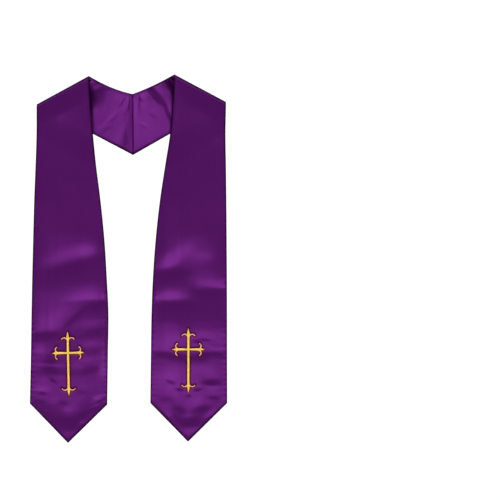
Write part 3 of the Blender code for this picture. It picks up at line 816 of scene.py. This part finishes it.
def add_strip(name, half_name, skins, edges, is_face):
    """A closed shell of cloth: two skins on one grid, joined by a rim along the sewn edges."""
    made = [strip_skin(half_name, skin, edge, is_face) for skin, edge in zip(skins, edges)]
    high, wide = made[0][0].shape[:2]
    count = high * wide
    number = np.arange(count).reshape(high, wide)
    a, b = number[:-1, :-1].ravel(), number[:-1, 1:].ravel()
    c, d = number[1:, 1:].ravel(), number[1:, :-1].ravel()
    rim = np.concatenate([number[0, :-1], number[:-1, -1], number[-1, :0:-1], number[:0:-1, 0]])
    after = np.roll(rim, -1)
    faces = np.concatenate([
        np.stack([a, b, c, d], -1),
        np.stack([a, d, c, b], -1) + count,
        np.stack([after, rim, rim + count, after + count], -1),
    ])
    if HALVES[half_name].side < 0:
        faces = faces[:, ::-1]
    points = np.concatenate([m[0].reshape(-1, 3) for m in made])
    uv = np.concatenate([m[1].reshape(-1, 2) for m in made])
    marks = {mark: np.concatenate([m[2][mark].ravel() for m in made]) for mark in made[0][2]}
    return add_mesh(name, points, faces, uv, marks)


def half_name_of(half):
    """The half's name in the tables."""
    return "left" if half.side < 0 else "right"


def face_front(half, x, y, rim):
    """Relief of a front's face: its creases and wide swells, off the table except near its sewn
    edges, pulled down round the embroidery."""
    relief = front_creases(half_name_of(half), x, y) + swells(x, y)
    relief = relief * set_in(rim, FACE_SET_IN) + puff(y) * smooth_step(rim / PUFF_EDGE)
    return relief - TRENCH * np.exp(-(np.maximum(cross_distance(half, x, y), 0) / TRENCH_RUN) ** 2)


def thread_shade(half, x, y):
    """Depth of the painted shade round the stitches: a smooth step of the distance from them."""
    inside = THREAD_SHADE_RUN - cross_distance(half, x, y)
    return THREAD_SHADE * smooth_step(inside / THREAD_SHADE_BLUR)


def tuck_shade(half, x, y):
    """Painted shade on the lining where it runs in under a front: a bell of the distance from the
    front's edge, widest where the front stands off it most, and a flat-topped bell about the
    neck's corner."""
    inside = np.maximum(-half.side * (x - front_edge(half, "inner", y)), 0)
    wide = TUCK_LEAST + half.tuck * np.exp(-(((y - half.tuck_at) / half.tuck_run) ** 2))
    away = np.hypot(x - half.neck[0], y - half.neck[1]) / CORNER_RUN
    tuck = TUCK_SHADE * np.exp(-((inside / wide) ** 2))
    return np.maximum(tuck, half.corner * np.exp(-(away**6)))


def face_back(half, x, y):
    """Relief of the back's underside: shallow hollows that match the creases seen inside the neck."""
    hollow = np.maximum(back_creases(half_name_of(half), x, y), 0)
    return UNDER_FOLLOWS * hollow * shown_share(half, x, y)


def lining_front(half, x, y, rim):
    """Relief of the lining under a front, which follows the creases part of the way."""
    relief = front_creases(half_name_of(half), x, y) + puff(y)
    return LINING_FOLLOWS * relief * smooth_step(rim / PUFF_EDGE)


def shown_share(half, x, y):
    """1 on the part of a back that shows between the fronts, and less under the front's edge."""
    return set_in(-half.side * (x - front_edge(half, "inner", y)), SHOWN_SET_IN)


def lining_back(half, x, y, rim, seam):
    """Relief of the lining inside the neck: its creases, swells, and the seam allowances pressed
    open below it on both sides of the centre back seam."""
    relief = back_creases(half_name_of(half), x, y) + NECK_SWELLS * swells(x, y)
    under = 1 - smooth_step((seam - ALLOWANCE + 0.5 * ALLOWANCE_EDGE) / ALLOWANCE_EDGE)
    return (relief * set_in(rim, LINING_SET_IN) + ALLOWANCE_RISE * under) * shown_share(half, x, y)


def arm_table(arm, length):
    """Distances from the crossing and half widths there along one arm, for interpolation."""
    return [length - row.from_tip for row in arm[::-1]], [row.half_width for row in arm[::-1]]


def pale_share(run, from_tip, deep):
    """How pale the painted sheen on the threads of a straight stroke is: least at the crossing, and by a
    bell about the place where its hooks spring off, and most at its tip."""
    shine = STRAIGHT_PALE * smooth_step(np.abs(run) / PALE_FROM - 0.5)
    shine = shine * (1 - np.exp(-(((from_tip - deep) / DEEP_RUN) ** 2)))
    return shine + smooth_step(1 - from_tip / TIP_PALE)


def straight_strokes():
    """The stem and the crossbar: middle points, half widths, how deep they sink and how pale their
    painted sheen is."""
    run = np.arange(-ARM_DOWN, ARM_UP, STITCH_PITCH)
    up = np.interp(run, *arm_table(LONG_ARM, ARM_UP))
    wide = np.where(run > 0, up, np.interp(-run, *arm_table(LONG_ARM, ARM_DOWN)))
    pale = pale_share(run, np.minimum(run + ARM_DOWN, ARM_UP - run), STEM_DEEP)
    stem = np.stack([0 * run, run], -1), wide, 0.0, pale
    run = np.arange(-ARM_SIDE, ARM_SIDE, STITCH_PITCH)
    wide = np.interp(np.abs(run), *arm_table(SHORT_ARM, ARM_SIDE))
    pale = pale_share(run, ARM_SIDE - np.abs(run), BAR_DEEP)
    return [stem, (np.stack([run, 0 * run], -1), wide, BAR_SINK, pale)]


def cross_strokes():
    """The cross's strokes in its own plan, closely spaced: the straight ones, and two hooks on each
    arm, which are arcs of a circle that grow thin towards their ends, with a paler painted sheen."""
    strokes = straight_strokes()
    arms = [
        (np.array([0, 1]), ARM_UP, TOP_HOOK),
        (np.array([0, -1]), ARM_DOWN, LOW_HOOK),
        (np.array([1, 0]), ARM_SIDE, SIDE_HOOK),
        (np.array([-1, 0]), ARM_SIDE, SIDE_HOOK),
    ]
    for out, length, hook in arms:
        pitch = STITCH_PITCH / hook.radius
        turn = np.arange(-math.radians(HOOK_START_TURN), math.radians(hook.end_turn), pitch)
        grown = smooth_step((turn + HOOK_THIN_RADIANS) / (turn[-1] + HOOK_THIN_RADIANS))
        aside = np.array([-out[1], out[0]])
        wide = HOOK_HALF + (HOOK_END_HALF - HOOK_HALF) * grown
        pale = HOOK_PALE + HOOK_END_PALER * grown
        along = length - hook.from_tip - hook.radius * (1 - np.cos(turn))
        for side in (1, -1):
            across = side * (hook.half_width - HOOK_HALF + hook.radius * (1 + np.sin(turn)))
            strokes.append((along[:, None] * out + across[:, None] * aside, wide, HOOK_SINK, pale))
    return strokes


def cross_distance(half, x, y):
    """Distance in the plan from each point to the nearest stroke's edge of a half's cross, worked
    out near the cross only, from every third point of its strokes."""
    turn = math.radians(half.cross_turn)
    local_x = (x - half.cross[0]) * math.cos(turn) + (y - half.cross[1]) * math.sin(turn)
    local_y = (y - half.cross[1]) * math.cos(turn) - (x - half.cross[0]) * math.sin(turn)
    near = (local_y < ARM_UP + CROSS_REACH) & (local_y > -ARM_DOWN - CROSS_REACH)
    near = near & (np.abs(local_x) < ARM_SIDE + CROSS_REACH)
    px, py = local_x[near], local_y[near]
    best = np.full(px.shape, FAR)
    for middle, wide, _, _ in cross_strokes():
        for k in range(0, len(middle), 3):
            best = np.minimum(best, np.hypot(px - middle[k, 0], py - middle[k, 1]) - wide[k])
    away = np.full(np.shape(x), FAR)
    away[near] = best
    return away


def face_top(half, x, y):
    """Height of the face's outside where a front lies on the table."""
    return PANEL + front_creases(half_name_of(half), x, y) + swells(x, y) + puff(y)


def unit(rows):
    """Vectors brought to a length of 1."""
    return rows / np.linalg.norm(rows, axis=-1, keepdims=True)


def stitch_paths(half, stroke, shake):
    """Middle of every stitch of a stroke, as points across it: straight over the stroke with a
    slant, crowned as the square root of one less the fourth power of the place across."""
    middle, wide, sink, _ = stroke
    spots = np.array([cut.across for cut in STITCH_CUTS])
    tangent = unit(np.gradient(middle, axis=0))
    normal = np.stack([-tangent[:, 1], tangent[:, 0]], -1)
    place = spots[None, :, None] * (wide[:, None, None] + shake[:, :1, None])
    slip = STITCH_SLANT * place + shake[:, 1:, None]
    plan = middle[:, None, :] + normal[:, None, :] * place + tangent[:, None, :] * slip
    turn = math.radians(half.cross_turn)
    spin = np.array([[math.cos(turn), -math.sin(turn)], [math.sin(turn), math.cos(turn)]])
    plan = plan @ spin.T + np.array(half.cross)
    crown = np.sqrt(np.maximum(1 - spots**4, 0))[None, :]
    tall = STITCH_HEIGHT * np.clip(wide / STITCH_FULL_HALF, STITCH_LEAST, STITCH_MOST)[:, None] + sink
    z = face_top(half, plan[..., 0], plan[..., 1]) - STITCH_ROOT + crown * tall
    return np.concatenate([plan, z[..., None]], -1)


def thread_tubes(path):
    """Points of a tube of four sides along each stitch's path, thinner at both ends."""
    ring = np.array([[1, 0], [0, 1], [-1, 0], [0, -1]], float)
    along = unit(np.gradient(path, axis=1))
    side = unit(np.cross(along, [0.0, 0.0, 1.0]))
    lift = np.cross(side, along)
    radius = THREAD_RADIUS * np.array([cut.thin for cut in STITCH_CUTS])[None, :, None, None]
    round_it = side[:, :, None, :] * ring[:, :1] + lift[:, :, None, :] * ring[:, 1:]
    return path[:, :, None, :] + radius * round_it


def tube_faces(stitches, cuts, sides, start):
    """Faces of the tubes, as rows of point numbers: the walls, and a cap on both ends."""
    base = start + np.arange(stitches)[:, None, None] * cuts * sides
    cut = np.arange(cuts - 1)[None, :, None] * sides
    k = np.arange(sides)[None, None, :]
    a, b = base + cut + k, base + cut + (k + 1) % sides
    walls = np.stack([a, a + sides, b + sides, b], -1).reshape(-1, 4)
    first = base[:, 0, 0][:, None]
    last = first + (cuts - 1) * sides
    return [walls, first + np.array([[0, 1, 2, 3]]), last + np.array([[3, 2, 1, 0]])]


def add_embroidery(name, half):
    """Satin stitch: thread after thread laid across each stroke, crowned in the middle and pulled
    into the cloth at both ends. A stitch's tone, for its colour, is a painted highlight on its crown,
    as one less the eighth power of the place across, falling to painted shade at its ends, with a
    random spread from stitch to stitch."""
    spots = np.array([cut.across for cut in STITCH_CUTS])
    seed = np.random.default_rng(STITCH_SEED)
    points, faces, tones, start = [], [], [], 0
    for stroke in cross_strokes():
        pale = stroke[3]
        shake = seed.normal(0, STITCH_SHAKE, (len(pale), 2))
        tube = thread_tubes(stitch_paths(half, stroke, shake))
        tone = seed.uniform(-0.5, 0.5, len(pale))[:, None] * TONE_SPREAD
        tone = pale[:, None] * (1 - spots**8)[None, :] + tone
        points.append(tube.reshape(-1, 3))
        faces += tube_faces(*tube.shape[:3], start)
        tones.append(np.repeat(tone.ravel(), tube.shape[2]))
        start += tube.size // 3
    marks = {"tone": np.concatenate(tones)}
    return add_mesh(name, np.concatenate(points), np.concatenate(faces), None, marks)


def add_node(tree, kind, inputs=None, **settings):
    """Adds a shader node with its own settings. Each input given is set to its value, or linked
    where that is another node's output."""
    node = tree.nodes.new("ShaderNode" + kind)
    for key, value in settings.items():
        setattr(node, key, value)
    for key, value in (inputs or {}).items():
        if isinstance(value, bpy.types.NodeSocket):
            tree.links.new(value, node.inputs[key])
        else:
            node.inputs[key].default_value = value
    return node


def new_material(name, values):
    """A node material with an output and a Principled shader that has the given values."""
    material = bpy.data.materials.new(name)
    material.use_nodes = True
    tree = material.node_tree
    tree.nodes.clear()
    shader = add_node(tree, "BsdfPrincipled", values)
    add_node(tree, "OutputMaterial", {"Surface": shader.outputs["BSDF"]})
    return material, tree, shader


def satin_material(name, colour):
    """Satin: dark dyed yarn whose long floats along the strip give a tinted gloss, sharp along the
    yarn and wide across it. Fine streaks follow the yarn. Painted shade darkens the sewn edges, the
    shoulder fold, the seam and the lining under the fronts, and there the gloss takes the dye's
    colour, so that its reflection is darkened too. A painted maroon shade lies on the cloth round the
    stitches. Where the cloth is creased its yarn leans a little more than the cloth does."""
    material, tree, shader = new_material(name, {"Specular IOR Level": 0.12, "Anisotropic": 0.95})
    uv = add_node(tree, "UVMap", uv_map="Cloth").outputs["UV"]
    place = add_node(tree, "TexCoord").outputs["Object"]
    # Painted shade in the sewn edges, the shoulder fold, the seam and under the fronts
    edge = add_node(tree, "Attribute", attribute_name="painted_shade").outputs["Fac"]
    shaded = add_node(tree, "Attribute", attribute_name="painted_stitch_shade").outputs["Fac"]
    rise = add_node(tree, "Attribute", attribute_name="yarn_rise").outputs["Fac"]

    stretched = add_node(tree, "Mapping", {"Vector": uv, "Scale": (2600, 240, 1)}).outputs["Vector"]
    streak = {"Vector": stretched, "Scale": 1.0, "Detail": 3.0}
    streak = add_node(tree, "TexNoise", streak).outputs["Fac"]
    broad = add_node(tree, "TexNoise", {"Vector": place, "Scale": 14.0, "Detail": 2.0})

    shade = {"Value": streak, "From Min": 0.3, "From Max": 0.7, "To Min": 0.90, "To Max": 1.08}
    shade = add_node(tree, "MapRange", shade).outputs["Result"]
    darker = add_node(tree, "Math", {0: edge, 1: -PAINTED_SHADE_DEPTH, 2: 1.0}, operation="MULTIPLY_ADD")
    both = add_node(tree, "Math", {0: shade, 1: darker.outputs["Value"]}, operation="MULTIPLY")
    tint = {"Factor": 1.0, "A": (*colour, 1), "B": both.outputs["Value"]}
    tint = add_node(tree, "Mix", tint, data_type="RGBA", blend_type="MULTIPLY")
    # Painted maroon shade on the cloth round the stitches
    maroon = {"Factor": shaded, "A": tint.outputs["Result"], "B": (*THREAD_SHADE_COLOUR, 1)}
    maroon = add_node(tree, "Mix", maroon, data_type="RGBA")

    gloss = add_node(tree, "MapRange", {"Value": broad.outputs["Fac"], "To Min": 0.31, "To Max": 0.35})
    # Where the painted shade lies, the gloss turns metallic, so the dark dye darkens its reflection too
    shade_metal = add_node(tree, "MapRange", {"Value": edge, "To Min": 0.5, "To Max": 1.0})
    bump = add_node(tree, "Bump", {"Height": streak, "Strength": 0.35, "Distance": 0.00006})
    leaning = {"Height": rise, "Distance": 1.0, "Normal": bump.outputs["Normal"]}
    leaning = add_node(tree, "Bump", leaning)
    tangent = add_node(tree, "Tangent", direction_type="UV_MAP", uv_map="Cloth")
    tree.links.new(maroon.outputs["Result"], shader.inputs["Base Color"])
    tree.links.new(gloss.outputs["Result"], shader.inputs["Roughness"])
    tree.links.new(shade_metal.outputs["Result"], shader.inputs["Metallic"])
    tree.links.new(leaning.outputs["Normal"], shader.inputs["Normal"])
    tree.links.new(tangent.outputs["Tangent"], shader.inputs["Tangent"])
    return material


def window_world(stage):
    """A dim room with one wide bright window overhead, towards the neck. The window is a box in the
    slants X/Z and Y/Z of the direction looked in, with soft edges."""
    world = bpy.data.worlds.new("room with a window")
    world.use_nodes = True
    tree = world.node_tree
    look = add_node(tree, "TexCoord").outputs["Generated"]
    way = add_node(tree, "SeparateXYZ", {"Vector": look}).outputs
    edges = [
        ("X", stage.window_left, stage.window_left + stage.window_blur),
        ("X", stage.window_right, stage.window_right - stage.window_blur),
        ("Y", stage.window_near, stage.window_near + stage.window_near_blur),
        ("Y", stage.window_far, stage.window_far - stage.window_blur),
    ]
    inside = 1.0
    for axis, dark, bright in edges:
        slant = add_node(tree, "Math", {0: way[axis], 1: way["Z"]}, operation="DIVIDE")
        edge = {"Value": slant.outputs["Value"]}
        edge.update({"From Min": min(dark, bright), "From Max": max(dark, bright)})
        edge.update({"To Min": float(dark > bright), "To Max": float(dark < bright)})
        edge = add_node(tree, "MapRange", edge, interpolation_type="SMOOTHSTEP").outputs["Result"]
        inside = add_node(tree, "Math", {0: inside, 1: edge}, operation="MULTIPLY").outputs["Value"]
    total = {0: inside, 1: stage.window_light - stage.room_light, 2: stage.room_light}
    total = add_node(tree, "Math", total, operation="MULTIPLY_ADD")
    tree.links.new(total.outputs["Value"], tree.nodes["Background"].inputs["Strength"])
    tree.nodes["Background"].inputs["Color"].default_value = (1, 1, 1, 1)
    return world


def thread_material(name, colour):
    """Rayon embroidery thread: glossy gold, with a painted highlight on the crown of a stitch and
    painted shade where it turns down, each stitch a little lighter or darker."""
    gloss = {"Roughness": 0.42, "Metallic": 0.05, "Sheen Weight": 0.3}
    material, tree, shader = new_material(name, gloss)
    # The tone holds painted highlight and shade, and each stitch's random spread
    tone = add_node(tree, "Attribute", attribute_name="tone").outputs["Fac"]
    ramp = add_node(tree, "ValToRGB", {"Fac": tone})
    for gold in THREAD_GOLDS[1:-1]:
        ramp.color_ramp.elements.new(gold.tone)
    for stop, gold in zip(ramp.color_ramp.elements, THREAD_GOLDS):
        stop.color = (colour[0] * gold.red, colour[1] * gold.green, colour[2] * gold.blue, 1)
    place = add_node(tree, "TexCoord").outputs["Object"]
    twist = add_node(tree, "TexNoise", {"Vector": place, "Scale": 2500.0}).outputs["Fac"]
    bump = add_node(tree, "Bump", {"Height": twist, "Strength": 0.3, "Distance": 0.00003})
    tree.links.new(ramp.outputs["Color"], shader.inputs["Base Color"])
    tree.links.new(bump.outputs["Normal"], shader.inputs["Normal"])
    return material


class StoleClothSettings(bpy.types.PropertyGroup):
    """Colours of the cloth."""

    face_colour: FloatVectorProperty(
        name="Face colour", description="Dyed satin of the face", subtype="COLOR", size=3,
        default=DYE, min=0, max=1,
    )
    lining_colour: FloatVectorProperty(
        name="Lining colour", description="Dyed satin of the lining", subtype="COLOR", size=3,
        default=DYE, min=0, max=1,
    )


class StoleThreadSettings(bpy.types.PropertyGroup):
    """Colour of the embroidery."""

    thread_colour: FloatVectorProperty(
        name="Thread colour", description="Gold embroidery thread", subtype="COLOR", size=3,
        default=(1.0, 0.72, 0.03), min=0, max=1,
    )


class StoleStageSettings(bpy.types.PropertyGroup):
    """Camera and light."""

    view_centre: FloatVectorProperty(
        name="View centre", description="Point of the table in the middle of the picture",
        subtype="TRANSLATION", unit="LENGTH", size=3, default=(0.2521, 0.0180, 0.0),
    )
    view_width: FloatProperty(
        name="View width", description="Width of table that the picture shows", unit="LENGTH", default=1.038,
    )
    lens: FloatProperty(name="Lens", description="Focal length", unit="CAMERA", default=500.0)
    table_glow: FloatProperty(
        name="Table glow", description="Light of the table's own, as from a light table", default=0.98
    )
    room_light: FloatProperty(name="Room light", description="Brightness of the room", default=0.45)
    window_light: FloatProperty(
        name="Window light", description="Brightness of the window", default=6.6
    )
    window_left: FloatProperty(
        name="Window left", description="Slant of its left edge, X over Z", default=-0.46
    )
    window_right: FloatProperty(
        name="Window right", description="Slant of its right edge, X over Z", default=0.32
    )
    window_near: FloatProperty(
        name="Window near", description="Slant at which its near edge starts, Y over Z", default=0.035
    )
    window_near_blur: FloatProperty(
        name="Window near blur", description="How softly its near edge starts", default=0.15
    )
    window_far: FloatProperty(
        name="Window far", description="Slant of its far edge, Y over Z", default=1.1
    )
    window_blur: FloatProperty(
        name="Window blur", description="Softness of its other edges", default=0.16
    )


class STOLE_OT_add_faces(bpy.types.Operator):
    """Add the two face panels of satin, from the centre back seam to the pointed ends"""

    bl_idname = "stole.add_faces"
    bl_label = "Add Faces"

    def execute(self, context):
        satin = satin_material("face satin", context.scene.stole_cloth.face_colour)
        for name in HALVES:
            panel = add_strip(name + "_face_satin", name, FACE_SKINS, FACE_EDGE, True)
            panel.data.materials.append(satin)
            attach(panel, "root")
            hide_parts(name + "_face")
        return {"FINISHED"}


class STOLE_OT_add_linings(bpy.types.Operator):
    """Add the two lining panels, which show inside the neck"""

    bl_idname = "stole.add_linings"
    bl_label = "Add Linings"

    def execute(self, context):
        satin = satin_material("lining satin", context.scene.stole_cloth.lining_colour)
        for name in HALVES:
            panel = add_strip(name + "_lining_satin", name, LINING_SKINS, LINING_EDGE, False)
            panel.data.materials.append(satin)
            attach(panel, "root")
            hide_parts(name + "_lining")
        return {"FINISHED"}


class STOLE_OT_add_crosses(bpy.types.Operator):
    """Add the two embroidered crosses, stitch by stitch"""

    bl_idname = "stole.add_crosses"
    bl_label = "Add Crosses"

    def execute(self, context):
        thread = thread_material("gold thread", context.scene.stole_thread.thread_colour)
        for name, half in HALVES.items():
            cross = add_embroidery(name + "_cross_stitches", half)
            cross.data.materials.append(thread)
            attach(cross, "root")
            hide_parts(name + "_cross")
        return {"FINISHED"}


class STOLE_OT_declare_cloth(bpy.types.Operator):
    """Takes no step: what each panel of cloth was cut to is not stated here"""

    bl_idname = "stole.declare_cloth"
    bl_label = "Declare Cloth"

    def execute(self, context):
        return {"FINISHED"}


class STOLE_OT_add_stage(bpy.types.Operator):
    """Add the pale table, soft light and the camera above"""

    bl_idname = "stole.add_stage"
    bl_label = "Add Stage"

    def execute(self, context):
        stage = context.scene.stole_stage
        corners = np.array([[-1, -1, 0], [1, -1, 0], [1, 1, 0], [-1, 1, 0]]) * TABLE_HALF
        floor = add_mesh("table", corners - [0, 0, TABLE_DROP], [[0, 1, 2, 3]], smooth=False)
        look = {"Base Color": (0.1, 0.1, 0.1, 1), "Roughness": 0.9, "Specular IOR Level": 0.1}
        glow = {"Emission Color": (1, 1, 1, 1), "Emission Strength": stage.table_glow}
        floor.data.materials.append(new_material("pale paper", {**look, **glow})[0])

        context.scene.world = window_world(stage)

        camera_data = bpy.data.cameras.new("camera")
        camera_data.lens = stage.lens
        camera_data.clip_end = 60
        camera = bpy.data.objects.new("camera", camera_data)
        context.collection.objects.link(camera)
        distance = stage.view_width * stage.lens / camera_data.sensor_width
        camera.location = (*stage.view_centre[:2], stage.view_centre[2] + distance)
        context.scene.camera = camera
        context.scene.view_settings.view_transform = "Standard"
        context.scene.view_settings.look = "None"
        return {"FINISHED"}


class STOLE_PT_panel(bpy.types.Panel):
    """Lists the stole's sizes, colours and operators."""

    bl_label = "Choir Stole"
    bl_idname = "STOLE_PT_panel"
    bl_space_type = "VIEW_3D"
    bl_region_type = "UI"
    bl_category = "Stole"

    def draw(self, context):
        for group in (context.scene.stole_cloth, context.scene.stole_thread, context.scene.stole_stage):
            box = self.layout.box()
            for key in group.bl_rna.properties.keys():
                if key not in ("rna_type", "name"):
                    box.prop(group, key)
        for operator in OPERATORS:
            self.layout.operator(operator.bl_idname)


GROUPS = (StoleClothSettings, StoleThreadSettings, StoleStageSettings)
OPERATORS = (
    STOLE_OT_add_faces,
    STOLE_OT_add_linings,
    STOLE_OT_add_crosses,
    STOLE_OT_declare_cloth,
    STOLE_OT_add_stage,
)


def register():
    """Registers the add-on's classes and its settings."""
    for item in (*GROUPS, *OPERATORS, STOLE_PT_panel):
        bpy.utils.register_class(item)
    bpy.types.Scene.stole_cloth = PointerProperty(type=StoleClothSettings)
    bpy.types.Scene.stole_thread = PointerProperty(type=StoleThreadSettings)
    bpy.types.Scene.stole_stage = PointerProperty(type=StoleStageSettings)


def unregister():
    """Takes away what register() added."""
    del bpy.types.Scene.stole_stage
    del bpy.types.Scene.stole_thread
    del bpy.types.Scene.stole_cloth
    for item in (STOLE_PT_panel, *OPERATORS[::-1], *GROUPS[::-1]):
        bpy.utils.unregister_class(item)


def main():
    """Builds the stole and its stage."""
    register()
    bpy.ops.stole.add_stage()
    bpy.ops.stole.add_faces()
    bpy.ops.stole.add_linings()
    bpy.ops.stole.add_crosses()
    bpy.ops.stole.declare_cloth()


if __name__ == "__main__":
    main()
